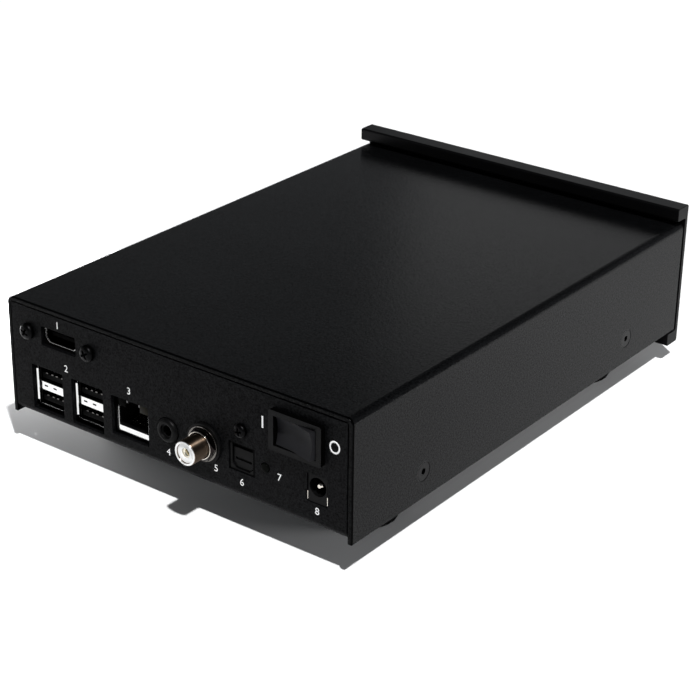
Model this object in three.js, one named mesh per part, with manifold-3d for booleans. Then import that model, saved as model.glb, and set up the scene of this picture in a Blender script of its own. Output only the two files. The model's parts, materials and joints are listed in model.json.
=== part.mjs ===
// Network audio player: a folded steel case with an aluminium fascia, four feet, a connector panel,
// a rocker power switch and two circuit boards. Millimetres, +Z up, front towards -Y.
// The pieces are laid out in the case's frame: X is centred, Y = 0 is the rear panel's outer face
// and Z = 0 is the lower edge of the cover's sides. The whole group is then moved so that the origin
// is under the centre of the object, on the surface that it stands on.
import * as THREE from "three";
import { mergeVertices } from "three/addons/utils/BufferGeometryUtils.js";
import Module from "manifold-3d";

const wasm = await Module();
wasm.setup();

// Cover and chassis tray
const coverWidth = 142;
const coverHeight = 42.1;
const coverLength = 197.6;
const sheet = 1.5;
const bendRadius = 2.5;
const innerBend = bendRadius - sheet;
const slip = 0.3;
const panelTop = coverHeight - sheet - slip;
const trayHalfWidth = coverWidth / 2 - sheet - slip;
const trayBottom = 1.5;
const floorTop = trayBottom + sheet;
const trayLength = 198.2;
const flangeTop = 17;
const flangeInset = 4;
const flangeFoot = 6;
const cornerRelief = 1.4;

// Fascia: a C-section extrusion whose lips stand over the cover and under the base
const fasciaWidth = 142.3;
const fasciaHeight = 54;
const fasciaBottom = -5.4;
const fasciaDepth = 7.4;
const fasciaWeb = 1.8;
const fasciaLip = 4.8;
const fasciaEdge = 0.5;
const fasciaStudX = [-58, 58];
const fasciaStudZ = 21;

// Feet
const footRadius = 12;
const footX = [-49.5, 49.5];
const footY = [-165.6, -34.7];
const standHeight = 12;
const screwWell = 6;

// Fasteners
const screwRadius = 1.5;
const screwHole = 1.8;
const nutHeight = 2.4;
const coverScrewY = [-160.7, -36.7];
const coverScrewZ = 9.4;
const coverHeadRadius = 3.1;
const panHeadRadius = 2.8;

// Main board: it hangs upside down, with its components below it
const mainBoard = { width: 56, length: 85, thickness: 1.5, centreX: 35.35, rear: -4.6, under: 20.4 };
const mainHoleInset = 3.5;
const mainHolePitch = 58;
const pinPitch = 2.54;
const pinHalf = 0.32;
const headerRows = 20;
const headerInset = 32.5;

// Output board: it carries the sockets of the right-hand half of the panel, as seen from behind
const outputBoard = { left: -63.5, right: 5.8, rear: -2.2, length: 66, top: 9.4, thickness: 1.6 };
const outputScrewAt = [[-58.5, -62], [0.5, -62]];
const standoffAcross = 5.5;

// Places on the rear panel, [X, Z] of each socket's centre
const usbX = [54.3, 36.3];
const networkX = 17.6;
const videoAt = [48.3, 31.9];
const videoScrewPitch = 27;
const triggerAt = [1.2, 15.1];
const coaxAt = [-14.2, 16];
const opticalAt = [-28.9, 15.1];
const opticalScrewRise = 9.9;
const ledAt = [-38.2, 15.3];
const powerAt = [-58.2, 15.4];
const powerCut = { low: 9.7, high: 19.4 };
const switchAt = [-51, 30.3];

// Moving pieces
const rockerTilt = THREE.MathUtils.degToRad(10);
const rockerRadius = 7.9;
const rockerCrown = 2.95;
const rockerValley = 2.3;
const rockerDish = 1;
const pivotY = -0.6;
const portSize = 8.2;
const shutterGap = 0.2;
const shutterHinge = { y: -1.95, drop: 0.75 };

function finish(color, roughness, metalness) {
  return new THREE.MeshStandardMaterial({ color, roughness, metalness });
}
const blackCoat = () => finish(0x1b1c1e, 0.5, 0.2);
const blackPlastic = () => finish(0x131416, 0.5, 0);
const blackScrew = () => finish(0x202124, 0.35, 0.9);
const rubber = () => finish(0x161617, 0.8, 0);
const plated = () => finish(0xc9c8c4, 0.25, 1);
const gilt = () => finish(0xc9a04a, 0.3, 1);
const laminate = () => finish(0x1d5a34, 0.5, 0);
const nylon = () => finish(0xe9e8e2, 0.5, 0);

const player = new THREE.Group();
const sides = [-1, 1];

// Joins shared vertices, drops collapsed triangles and turns the faces outwards.
function weld(geometry) {
  const bare = geometry.clone();
  bare.deleteAttribute("normal");
  bare.deleteAttribute("uv");
  const merged = mergeVertices(bare, 1e-4);
  const points = merged.attributes.position;
  const kept = [];
  const [a, b, c] = [new THREE.Vector3(), new THREE.Vector3(), new THREE.Vector3()];
  let volume = 0;
  for (let i = 0; i < merged.index.count; i += 3) {
    const corner = [0, 1, 2].map((k) => merged.index.getX(i + k));
    if (new Set(corner).size < 3) continue;
    kept.push(...corner);
    a.fromBufferAttribute(points, corner[0]);
    b.fromBufferAttribute(points, corner[1]);
    c.fromBufferAttribute(points, corner[2]);
    volume += a.dot(b.cross(c));
  }
  if (volume < 0) kept.reverse();
  merged.setIndex(kept);
  return merged;
}

function solid(geometry) {
  const closed = weld(geometry);
  return new wasm.Manifold(new wasm.Mesh({
    numProp: 3,
    vertProperties: new Float32Array(closed.attributes.position.array),
    triVerts: new Uint32Array(closed.index.array),
  }));
}

function geometryOf(manifold) {
  const mesh = manifold.getMesh();
  const geometry = new THREE.BufferGeometry();
  geometry.setAttribute("position", new THREE.BufferAttribute(new Float32Array(mesh.vertProperties), 3));
  geometry.setIndex(new THREE.BufferAttribute(new Uint32Array(mesh.triVerts), 1));
  return geometry;
}

const join = (first, ...others) =>
  geometryOf(others.reduce((sum, item) => sum.add(solid(item)), solid(first)));
const cut = (first, ...tools) =>
  geometryOf(tools.reduce((rest, item) => rest.subtract(solid(item)), solid(first)));
const common = (first, second) => geometryOf(solid(first).intersect(solid(second)));

// A block between two corners
function block(low, high) {
  const size = high.map((value, axis) => value - low[axis]);
  const centre = high.map((value, axis) => (value + low[axis]) / 2);
  return new THREE.BoxGeometry(...size).translate(...centre);
}

// A flat outline pushed along Y: the outline's own axes are X and Z.
function alongY(shape, from, to, curveSegments = 5) {
  const settings = { depth: to - from, bevelEnabled: false, curveSegments };
  return new THREE.ExtrudeGeometry(shape, settings).rotateX(Math.PI / 2).translate(0, to, 0);
}

// A flat outline pushed along X: the outline's own axes are Y and Z.
function alongX(shape, from, to, curveSegments = 5) {
  const settings = { depth: to - from, bevelEnabled: false, curveSegments };
  const [x, y, z] = [[1, 0, 0], [0, 1, 0], [0, 0, 1]].map((axis) => new THREE.Vector3(...axis));
  const turn = new THREE.Matrix4().makeBasis(y, z, x);
  return new THREE.ExtrudeGeometry(shape, settings).applyMatrix4(turn).translate(from, 0, 0);
}

function alongZ(shape, from, to, curveSegments = 5) {
  const settings = { depth: to - from, bevelEnabled: false, curveSegments };
  return new THREE.ExtrudeGeometry(shape, settings).translate(0, 0, from);
}

// A profile of [radius, distance along the axis] pairs, turned round Y, X or Z
function turned(profile, facets = 20, axis = "y") {
  const geometry = new THREE.LatheGeometry(profile.map((pair) => new THREE.Vector2(...pair)), facets);
  if (axis === "z") geometry.rotateX(Math.PI / 2);
  if (axis === "x") geometry.rotateZ(-Math.PI / 2);
  return geometry;
}

const rod = (radius, from, to, facets = 20, axis = "y") =>
  turned([[0, from], [radius, from], [radius, to], [0, to]], facets, axis);
const ring = (inner, outer, from, to, facets, axis = "y") =>
  turned([[inner, from], [outer, from], [outer, to], [inner, to], [inner, from]], facets, axis);

function outline(points) {
  const shape = new THREE.Shape();
  points.forEach(([u, v], index) => (index === 0 ? shape.moveTo(u, v) : shape.lineTo(u, v)));
  return shape;
}

function rectangle(width, height, radius = 0, x = 0, y = 0) {
  const [left, right, low, high] = [x - width / 2, x + width / 2, y - height / 2, y + height / 2];
  if (radius === 0) return outline([[left, low], [right, low], [right, high], [left, high]]);
  const shape = new THREE.Shape();
  shape.moveTo(left + radius, low);
  shape.absarc(right - radius, low + radius, radius, -Math.PI / 2, 0, false);
  shape.absarc(right - radius, high - radius, radius, 0, Math.PI / 2, false);
  shape.absarc(left + radius, high - radius, radius, Math.PI / 2, Math.PI, false);
  shape.absarc(left + radius, low + radius, radius, Math.PI, 1.5 * Math.PI, false);
  return shape;
}

function addPiece(name, geometry, material, parent = player) {
  const mesh = new THREE.Mesh(weld(geometry), material);
  mesh.name = name;
  parent.add(mesh);
}

function addGroup(x, y, z, parent = player) {
  const holder = new THREE.Group();
  holder.position.set(x, y, z);
  parent.add(holder);
  return holder;
}

const grid = (xs, ys) => xs.flatMap((x) => ys.map((y) => [x, y]));
const cornerName = (x, y) => `${x < 0 ? "left" : "right"}_${y < -coverLength / 2 ? "front" : "rear"}`;

// Screw with a pan head whose underside is at zero, its shank towards the negative end
const panScrew = (length, shank, head, axis, facets = 16) => turned([
  [0, -length], [shank, -length], [shank, 0], [head, 0], [head, 0.35 * head],
  [0.8 * head, 0.62 * head], [0.35 * head, 0.75 * head], [0, 0.75 * head],
], facets, axis);

// Pressed-in hexagonal piece with a threaded bore, standing on the surface at `from`
const hexagon = (across, bore, from, to, axis) =>
  cut(rod(across / 2 / Math.cos(Math.PI / 6), from, to, 6, axis), rod(bore, from - 1, to + 1, 12, axis));

// Top cover: one sheet folded down both sides, with countersunk holes
function coverProfile() {
  const half = coverWidth / 2;
  const inner = half - sheet;
  const bendX = half - bendRadius;
  const bendZ = coverHeight - bendRadius;
  const shape = new THREE.Shape();
  shape.moveTo(-half, 0);
  shape.lineTo(-inner, 0);
  shape.absarc(-bendX, bendZ, innerBend, Math.PI, Math.PI / 2, true);
  shape.absarc(bendX, bendZ, innerBend, Math.PI / 2, 0, true);
  shape.lineTo(inner, 0);
  shape.lineTo(half, 0);
  shape.absarc(bendX, bendZ, bendRadius, 0, Math.PI / 2, false);
  shape.absarc(-bendX, bendZ, bendRadius, Math.PI / 2, Math.PI, false);
  return shape;
}

const coverScrewAt = grid(sides, coverScrewY);
const onSide = (geometry, [side, y]) =>
  geometry.clone().rotateZ(side < 0 ? Math.PI : 0).translate(0, y, coverScrewZ);
const coverFace = coverWidth / 2;
const countersink = turned([
  [0, coverFace - sheet - 1], [screwHole, coverFace - sheet - 1], [screwHole, coverFace - sheet],
  [coverHeadRadius + 0.15, coverFace], [coverHeadRadius + 0.15, coverFace + 1], [0, coverFace + 1],
], 20, "x");
addPiece("top_cover", cut(
  alongY(coverProfile(), -coverLength, 0),
  ...coverScrewAt.map((place) => onSide(countersink, place)),
), blackCoat());

const clinchFace = trayHalfWidth - sheet;
const coverScrewTip = clinchFace - nutHeight - 0.5;
const hexSocket = { radius: 1.15, depth: 1.2 };
const coverScrew = cut(
  turned([
    [0, coverScrewTip], [screwRadius, coverScrewTip], [screwRadius, coverFace - sheet],
    [coverHeadRadius, coverFace - 0.1], [0, coverFace - 0.1],
  ], 20, "x"),
  rod(hexSocket.radius, coverFace - hexSocket.depth, coverFace + 1, 6, "x"),
);
for (const [side, y] of coverScrewAt) {
  addPiece(`cover_screw_${cornerName(side, y)}`, onSide(coverScrew, [side, y]), blackScrew());
}

// Chassis tray: base, rear panel and front wall are one folded sheet, with a low flange on each side
function trayProfile() {
  const front = -trayLength;
  const bendZ = trayBottom + bendRadius;
  const shape = new THREE.Shape();
  shape.moveTo(0, panelTop);
  shape.lineTo(-sheet, panelTop);
  shape.absarc(-bendRadius, bendZ, innerBend, 0, -Math.PI / 2, true);
  shape.absarc(front + bendRadius, bendZ, innerBend, 1.5 * Math.PI, Math.PI, true);
  shape.lineTo(front + sheet, panelTop);
  shape.lineTo(front, panelTop);
  shape.absarc(front + bendRadius, bendZ, bendRadius, Math.PI, 1.5 * Math.PI, false);
  shape.absarc(-bendRadius, bendZ, bendRadius, -Math.PI / 2, 0, false);
  return shape;
}

function flangeProfile() {
  const bendZ = trayBottom + bendRadius;
  const bendX = trayHalfWidth - bendRadius;
  const shape = new THREE.Shape();
  shape.moveTo(trayHalfWidth - flangeFoot, trayBottom);
  shape.absarc(bendX, bendZ, bendRadius, -Math.PI / 2, 0, false);
  shape.lineTo(trayHalfWidth, flangeTop);
  shape.lineTo(trayHalfWidth - sheet, flangeTop);
  shape.absarc(bendX, bendZ, innerBend, 0, -Math.PI / 2, true);
  shape.lineTo(trayHalfWidth - flangeFoot, floorTop);
  return shape;
}

const throughPanel = [-sheet - 1, 1];
const panelHole = (radius, [x, z], facets = 20) => rod(radius, ...throughPanel, facets).translate(x, 0, z);
const panelCut = (width, height, [x, z], radius = 0.4) =>
  alongY(rectangle(width, height, radius, x, z), ...throughPanel, 2);
const panelCuts = [
  ...usbX.map((x) => panelCut(14, 16.1, [x, 12.2])),
  panelCut(16, 13.8, [networkX, 13.1]),
  panelCut(15.4, 6.8, videoAt),
  ...sides.map((side) => panelHole(screwHole, [videoAt[0] + side * videoScrewPitch / 2, videoAt[1]], 12)),
  panelHole(4.5, triggerAt),
  panelHole(4.2, coaxAt, 24),
  panelCut(10.4, 9.7, opticalAt, 0.2),
  panelHole(screwHole, [opticalAt[0], opticalAt[1] + opticalScrewRise], 12),
  panelHole(screwHole, ledAt, 16),
  panelCut(7.8, powerCut.high - powerCut.low, [powerAt[0], (powerCut.low + powerCut.high) / 2], 0.2),
  panelCut(18.7, 12.2, switchAt, 0.6),
];

const boardFront = mainBoard.rear - mainBoard.length;
const mainHoles = grid(
  sides.map((side) => mainBoard.centreX + side * (mainBoard.width / 2 - mainHoleInset)),
  [boardFront + mainHoleInset, boardFront + mainHoleInset + mainHolePitch],
);
const footAt = grid(footX, footY);
const flangeSpan = [-trayLength + flangeInset, -flangeInset];

// The bare sheet, with the strip beside each flange cut away and the flange folded up in its place
function foldedTray() {
  const openSides = cut(
    alongX(trayProfile(), -trayHalfWidth, trayHalfWidth),
    ...sides.map((side) => block(
      [side * (trayHalfWidth - flangeFoot / 2) - flangeFoot / 2 - 0.5, flangeSpan[0] - cornerRelief, 0],
      [side * (trayHalfWidth - flangeFoot / 2) + flangeFoot / 2 + 0.5, flangeSpan[1] + cornerRelief, flangeTop],
    )),
  );
  const flange = alongY(flangeProfile(), ...flangeSpan);
  const strip = block(
    [trayHalfWidth - flangeFoot - 1, flangeSpan[0], trayBottom],
    [trayHalfWidth - flangeFoot + 1, flangeSpan[1], floorTop],
  );
  const otherSide = (geometry) =>
    geometry.clone().rotateZ(Math.PI).translate(0, flangeSpan[0] + flangeSpan[1], 0);
  return join(openSides, flange, strip, otherSide(flange), otherSide(strip));
}

// Nuts and standoffs are pressed into the sheet for good, so they belong to the tray.
const standoff = (height, [x, y]) =>
  cut(
    rod(standoffAcross / 2 / Math.cos(Math.PI / 6), floorTop - 0.5, height, 6, "z"),
    rod(screwHole - 0.2, height - 6, height + 1, 12, "z"),
  ).translate(x, y, 0);
const outputUnder = outputBoard.top - outputBoard.thickness;
addPiece("chassis_tray", cut(
  join(
    foldedTray(),
    ...footAt.map(([x, y]) => rod(3.2, floorTop - 0.5, floorTop + nutHeight, 12, "z").translate(x, y, 0)),
    ...coverScrewAt.map((place) => onSide(rod(2.9, clinchFace - nutHeight, clinchFace + 0.5, 12, "x"), place)),
    ...mainHoles.map((place) => standoff(mainBoard.under, place)),
    ...outputScrewAt.map((place) => standoff(outputUnder, place)),
  ),
  ...panelCuts,
  ...footAt.map(([x, y]) => rod(screwHole, 0, floorTop + nutHeight + 1, 12, "z").translate(x, y, 0)),
  ...coverScrewAt.map((place) => onSide(rod(screwHole, clinchFace - 5, coverFace, 12, "x"), place)),
  ...fasciaStudX.map((x) => rod(screwHole, -1, sheet + 1, 12).translate(x, -trayLength, fasciaStudZ)),
), blackCoat());

// Fascia with its pressed-in studs, and their nuts behind the tray's front wall
function fasciaProfile() {
  const [back, top, e] = [fasciaDepth, fasciaHeight, fasciaEdge];
  return outline([
    [e, 0], [back - e, 0], [back, e], [back, fasciaLip - e], [back - e, fasciaLip],
    [fasciaWeb + e, fasciaLip], [fasciaWeb, fasciaLip + e],
    [fasciaWeb, top - fasciaLip - e], [fasciaWeb + e, top - fasciaLip],
    [back - e, top - fasciaLip], [back, top - fasciaLip + e], [back, top - e], [back - e, top],
    [e, top], [0, top - e], [0, e],
  ]);
}

const fascia = addGroup(0, -trayLength - fasciaWeb, fasciaBottom);
const studZ = fasciaStudZ - fasciaBottom;
addPiece("front_fascia", join(
  alongX(fasciaProfile(), -fasciaWidth / 2, fasciaWidth / 2),
  ...fasciaStudX.map((x) => rod(screwRadius, fasciaWeb - 0.5, fasciaWeb + 6.5, 12).translate(x, 0, studZ)),
), finish(0x232427, 0.4, 0.5), fascia);
for (const x of fasciaStudX) {
  addPiece(
    `fascia_nut_${x < 0 ? "left" : "right"}`,
    hexagon(5.5, screwHole, fasciaWeb + sheet, fasciaWeb + sheet + nutHeight, "y").translate(x, 0, studZ),
    plated(), fascia,
  );
}

// Feet: turned pads, each held by a screw sunk into its well
const footTop = trayBottom + standHeight;
const footProfile = [
  [screwHole, screwWell], [4.2, screwWell], [4.2, 0], [footRadius - 1.6, 0], [footRadius - 0.7, 0.5],
  [footRadius - 0.3, 1.4], [footRadius, footTop - 1], [footRadius - 0.6, footTop - 0.2],
  [footRadius - 1.2, footTop], [screwHole, footTop], [screwHole, screwWell],
];
const footScrewLength = footTop - screwWell + sheet + nutHeight + 0.6;
const footScrew = cut(
  panScrew(footScrewLength, screwRadius, 2.9, "z", 12),
  rod(0.6, 1.2, 4, 6, "z"),
).rotateX(Math.PI);
for (const [x, y] of footAt) {
  const foot = addGroup(x, y, -standHeight);
  addPiece(`foot_${cornerName(x, y)}`, turned(footProfile, 26, "z"), rubber(), foot);
  addPiece(`foot_screw_${cornerName(x, y)}`, footScrew.clone().translate(0, 0, screwWell), plated(), foot);
}

// Main board and what is soldered to its underside
const mainTop = mainBoard.under + mainBoard.thickness;
addPiece("main_board", cut(
  alongZ(rectangle(mainBoard.width, mainBoard.length, 3, mainBoard.centreX, boardFront + mainBoard.length / 2),
    mainBoard.under, mainTop, 4),
  ...mainHoles.map(([x, y]) => rod(1.6, mainBoard.under - 1, mainTop + 1, 12, "z").translate(x, y, 0)),
), laminate());
const chip = (across, height) => join(
  block([-across / 2, -across / 2, -height], [across / 2, across / 2, -0.3]),
  block([-across / 2 + 0.5, -across / 2 + 0.5, -0.4], [across / 2 - 0.5, across / 2 - 0.5, 0]),
);
const underBoard = (geometry, across, y) => geometry.translate(mainBoard.centreX + across, y, mainBoard.under);
addPiece("main_processor", underBoard(chip(14, 1.6), 3, -60), blackPlastic());
addPiece("network_chip", underBoard(chip(9, 1.2), 4, -36), blackPlastic());

function pinHeader() {
  const baseHeight = 2.5;
  const pinLength = 6;
  const half = headerRows * pinPitch / 2;
  const pins = [];
  for (let row = 0; row < headerRows; row += 1) {
    for (const side of sides) {
      const x = side * pinPitch / 2;
      const y = (row + 0.5) * pinPitch - half;
      pins.push(block([x - pinHalf, y - pinHalf, -baseHeight - pinLength], [x + pinHalf, y + pinHalf, -1]));
    }
  }
  return join(block([-pinPitch, -half, -baseHeight], [pinPitch, half, 0]), ...pins);
}
addPiece("pin_header", pinHeader().translate(
  mainBoard.centreX + mainBoard.width / 2 - mainHoleInset, boardFront + headerInset, mainBoard.under,
), blackPlastic());

const boardScrew = panScrew(5, 1.2, 2.5, "z", 10);
mainHoles.forEach(([x, y], index) => {
  addPiece(`main_board_screw_${index + 1}`, boardScrew.clone().translate(x, y, mainTop), plated());
});
outputScrewAt.forEach(([x, y], index) => {
  addPiece(`output_board_screw_${index + 1}`, boardScrew.clone().translate(x, y, outputBoard.top), plated());
});

// Double USB sockets: a plated shell with two ports, and an insulator with two tongues
const usb = { half: 6.55, low: 5.1, high: 19.4, front: -2.1, back: -19.6, wall: 0.4 };
const usbPort = { half: 6.2, height: 5.3, centres: [8.2, 16.35] };
const usbTongue = { half: 5.6, lift: 0.7, thickness: 1.85 };
const usbLip = { low: 6.6, high: 18, flare: 0.4, gauge: 0.2 };

// A strip at the side of the shell's mouth that is bent outwards
function usbSideLip(side) {
  const { flare, gauge } = usbLip;
  const [root, bend] = [usb.half - usb.wall, usb.front - 0.1];
  return alongZ(outline([
    [side * root, bend], [side * usb.half, bend], [side * (usb.half + flare), bend + flare],
    [side * (usb.half + flare - gauge), bend + flare + gauge], [side * root, bend + gauge],
  ]), usbLip.low, usbLip.high);
}

function usbShell() {
  const inside = usb.half - usb.wall;
  const portLow = (z) => z - usbPort.height / 2;
  const portHigh = (z) => z + usbPort.height / 2;
  const shelves = [portHigh(usbPort.centres[0]), portLow(usbPort.centres[1]) - usb.wall];
  const walls = cut(
    block([-usb.half, usb.back, usb.low], [usb.half, usb.front, usb.high]),
    block([-inside, usb.back - 1, usb.low + usb.wall], [inside, usb.front - usb.wall, usb.high - usb.wall]),
    ...usbPort.centres.map((z) => block(
      [-usbPort.half, usb.front - 1, portLow(z)], [usbPort.half, usb.front + 1, portHigh(z)],
    )),
  );
  return join(
    walls,
    ...sides.map(usbSideLip),
    ...shelves.map((z) => block([-usb.half, usb.front - 12, z], [usb.half, usb.front, z + usb.wall])),
    ...grid(sides, [-7, -17]).map(([side, y]) => block(
      [side * (usb.half - usb.wall / 2) - usb.wall / 2, y - 1.2, usb.high - usb.wall],
      [side * (usb.half - usb.wall / 2) + usb.wall / 2, y + 1.2, mainBoard.under],
    )),
  );
}

function usbInsulator() {
  const inside = usb.half - usb.wall;
  const rear = block([-inside, usb.back, usb.low + usb.wall], [inside, usb.back + 4.5, usb.high - usb.wall]);
  const tongues = usbPort.centres.flatMap((z) => {
    const low = z - usbPort.height / 2 + usbTongue.lift;
    const top = low + usbTongue.thickness;
    const contacts = [-3.5, -1, 1, 3.5].map((x) =>
      block([x - 0.5, usb.back + 5, top - 0.3], [x + 0.5, usb.front - 2, top + 0.12]));
    return [block([-usbTongue.half, usb.back + 4, low], [usbTongue.half, usb.front - 1.2, top]), ...contacts];
  });
  return join(rear, ...tongues);
}

usbX.forEach((x, index) => {
  const socket = addGroup(x, 0, 0);
  addPiece(`usb_socket_${index + 1}_shell`, usbShell(), plated(), socket);
  addPiece(`usb_socket_${index + 1}_insulator`, usbInsulator(), blackPlastic(), socket);
});

// Network socket: a plated shell over a moulded housing, with its latch notch towards the board
const net = { half: 8, low: 6.9, front: -1.7, back: -23, wall: 0.35, depth: 13 };
const netMouth = {
  half: 6.15, low: 9.4, high: 16.3, stepHalf: 3.1, stepHigh: 17.8, latchHalf: 2.1, latchHigh: 18.9,
};
function mouthOutline(margin) {
  const m = netMouth;
  const rightSide = [
    [m.half, m.low], [m.half, m.high], [m.stepHalf, m.high], [m.stepHalf, m.stepHigh],
    [m.latchHalf, m.stepHigh], [m.latchHalf, m.latchHigh],
  ].map(([x, z]) => [x + margin, z + (z === m.low ? -margin : margin)]);
  return outline([...rightSide, ...rightSide.map(([x, z]) => [-x, z]).reverse()]);
}

function networkHousing() {
  const slots = [];
  const wires = [];
  for (let index = 0; index < 8; index += 1) {
    const x = (index - 3.5) * 1.02;
    const [deep, near] = [net.front - 9.5, net.front - 2.5];
    const bar = (half, low, high) => block([x - half, deep, low], [x + half, near, high]);
    slots.push(bar(0.33, netMouth.low - 1, netMouth.low + 0.5));
    wires.push(bar(0.2, netMouth.low - 1.2, netMouth.low + 0.35));
  }
  const moulding = cut(
    block([-net.half + net.wall, net.back, net.low + net.wall],
      [net.half - net.wall, net.front - net.wall, mainBoard.under - net.wall]),
    alongY(mouthOutline(0), net.front - net.depth, net.front + 1),
    ...slots,
  );
  return join(moulding, ...wires);
}

const network = addGroup(networkX, 0, 0);
addPiece("network_socket_shell", cut(
  block([-net.half, net.back, net.low], [net.half, net.front, mainBoard.under]),
  block([-net.half + net.wall, net.back - 1, net.low + net.wall],
    [net.half - net.wall, net.front - net.wall, mainBoard.under - net.wall]),
  alongY(mouthOutline(0.15), net.front - 1, net.front + 1),
), plated(), network);
addPiece("network_socket_housing", networkHousing(), blackPlastic(), network);

// Video socket: an adapter block behind the panel, screwed on from outside
const video = addGroup(videoAt[0], 0, videoAt[1]);
const videoWall = 0.35;
const videoSpan = [-12.5, -2];
function videoOutline(margin) {
  const rightSide = [[5.2, -2.15], [6.85, -0.6], [6.85, 2.4]];
  const grown = rightSide.map(([x, z]) => [x + margin, z < 0 ? z - margin : z + margin]);
  return outline([...grown, ...grown.map(([x, z]) => [-x, z]).reverse()]);
}
addPiece("video_socket_shell", cut(
  alongY(videoOutline(videoWall), ...videoSpan),
  alongY(videoOutline(0), videoSpan[0] - 1, videoSpan[1] + 1),
), plated(), video);
addPiece("video_socket_insulator", join(
  alongY(videoOutline(0), videoSpan[0], videoSpan[0] + 2),
  block([-5.6, videoSpan[0] + 1, -0.4], [5.6, videoSpan[1] - 1.2, 0.8]),
), blackPlastic(), video);
addPiece("video_adapter_block", cut(
  alongY(rectangle(34, 11, 2), -15, -sheet, 3),
  alongY(videoOutline(videoWall), videoSpan[0], 0),
  ...sides.map((side) => rod(1.6, -12, 0, 12).translate(side * videoScrewPitch / 2, 0, 0)),
), blackPlastic(), video);
for (const side of sides) {
  const screw = panScrew(8, screwRadius, panHeadRadius, "y").translate(side * videoScrewPitch / 2, 0, 0);
  addPiece(`video_socket_screw_${side < 0 ? "left" : "right"}`, screw, blackScrew(), video);
}

// Output board, with one electrolytic capacitor and its converter chip
addPiece("output_board", cut(
  block([outputBoard.left, outputBoard.rear - outputBoard.length, outputUnder],
    [outputBoard.right, outputBoard.rear, outputBoard.top]),
  ...outputScrewAt.map(([x, y]) => rod(1.6, 0, 20, 12, "z").translate(x, y, 0)),
), laminate());
addPiece("output_chip", chip(7, 1.5).rotateX(Math.PI).translate(-20, -40, outputBoard.top), blackPlastic());
addPiece("output_capacitor", turned([
  [0, 0], [3.9, 0], [3.9, 0.8], [3.6, 1.2], [4, 1.6], [4, 11.4], [3.7, 11.8], [0, 11.8],
], 20, "z").translate(-50, -34, outputBoard.top), blackPlastic());

// Trigger jack: a moulded body whose round nose fills a hole in the panel
const trigger = addGroup(triggerAt[0], 0, triggerAt[1]);
const boardDrop = (centreZ) => outputBoard.top - centreZ;
const panelBack = -sheet - 0.2;
const triggerBore = 1.85;
addPiece("trigger_jack_body", cut(
  join(
    block([-4.2, -14.5, boardDrop(triggerAt[1])], [4.2, panelBack, 4.6]),
    rod(4.2, -3, 0.4, 20),
  ),
  rod(triggerBore, -13, 1, 16),
), blackPlastic(), trigger);
addPiece("trigger_jack_contact", ring(1.45, triggerBore, -12.5, -5, 16), plated(), trigger);

// Coaxial socket: plated barrel, insulator and centre contact, held by a nut over two washers
const coax = addGroup(coaxAt[0], 0, coaxAt[1]);
const coaxTip = 9.6;
const coaxRoot = -7;
const coaxThread = 3.9;
const coaxOuter = 4.15;
const coaxBore = 3.3;
const contactBore = 1.6;
const contactRadius = 2.1;
addPiece("coax_body", cut(
  block([-5.2, -12.5, boardDrop(coaxAt[1])], [5.2, panelBack, 5.2]),
  rod(coaxThread, coaxRoot, 0, 24),
), blackPlastic(), coax);
addPiece("coax_barrel", turned([
  [coaxBore, coaxRoot], [coaxThread, coaxRoot], [coaxThread, 3.9], [coaxOuter, 4.1],
  [coaxOuter, coaxTip - 0.3], [coaxOuter - 0.3, coaxTip], [coaxBore, coaxTip], [coaxBore, coaxRoot],
], 24), plated(), coax);
addPiece("coax_insulator", turned([
  [contactBore, coaxTip - 0.5], [coaxBore, coaxTip - 0.5], [coaxBore, coaxRoot], [contactRadius, coaxRoot],
  [contactRadius, coaxTip - 1.4], [contactBore, coaxTip - 1.4], [contactBore, coaxTip - 0.5],
], 24), nylon(), coax);
addPiece("coax_centre_contact", turned([
  [0, coaxRoot], [contactRadius, coaxRoot], [contactRadius, coaxTip - 1.4], [contactBore, coaxTip - 1.4],
  [contactBore, -4], [0, -4],
], 24), gilt(), coax);
addPiece("coax_insulating_washer", ring(coaxThread + 0.1, 6.7, 0, 1, 24), blackPlastic(), coax);
addPiece("coax_lock_washer", ring(coaxThread + 0.1, 5.9, 1, 1.5, 24), plated(), coax);

// Hexagonal nut whose front corners are turned off by a chamfer
function coaxNut() {
  const across = 10.4;
  const corner = across / 2 / Math.cos(Math.PI / 6);
  const [from, to] = [1.5, 3.6];
  const chamfer = turned([
    [0, from], [corner + 0.1, from], [corner + 0.1, to - 0.7], [across / 2 - 0.35, to], [0, to],
  ], 24);
  return cut(common(rod(corner, from, to, 6), chamfer), rod(coaxThread, from - 1, to + 1, 24));
}
addPiece("coax_nut", coaxNut(), plated(), coax);

// Optical socket: a square nose in the panel, closed by a shutter that swings inwards
const optical = addGroup(opticalAt[0], 0, opticalAt[1]);
const noseHalf = [5, 4.65];
const noseFront = -0.45;
const shutterFace = noseFront - 0.6;
const hingeZ = portSize / 2 - shutterHinge.drop;
function portOutline(margin) {
  const half = portSize / 2 - margin;
  const chamfer = 1.4;
  return outline([
    [-half + chamfer, -half], [half - chamfer, -half], [half, -half + chamfer],
    [half, half], [-half, half], [-half, -half + chamfer],
  ]);
}
addPiece("optical_socket_body", cut(
  join(
    block([-noseHalf[0], -10, -noseHalf[1]], [noseHalf[0], noseFront, noseHalf[1]]),
    block([-noseHalf[0], -17, boardDrop(opticalAt[1])], [noseHalf[0], panelBack, noseHalf[1] + 0.3]),
    block([-3.4, -5.2, noseHalf[1]], [3.4, panelBack, opticalScrewRise + 3.2]),
  ),
  alongY(portOutline(0), -11, 1),
  rod(2.6, -14.5, -10, 16),
  rod(0.7, -noseHalf[0] - 1, noseHalf[0] + 1, 10, "x").translate(0, shutterHinge.y, hingeZ),
  rod(1.6, -6, 0, 12).translate(0, 0, opticalScrewRise),
), blackPlastic(), optical);
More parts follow.
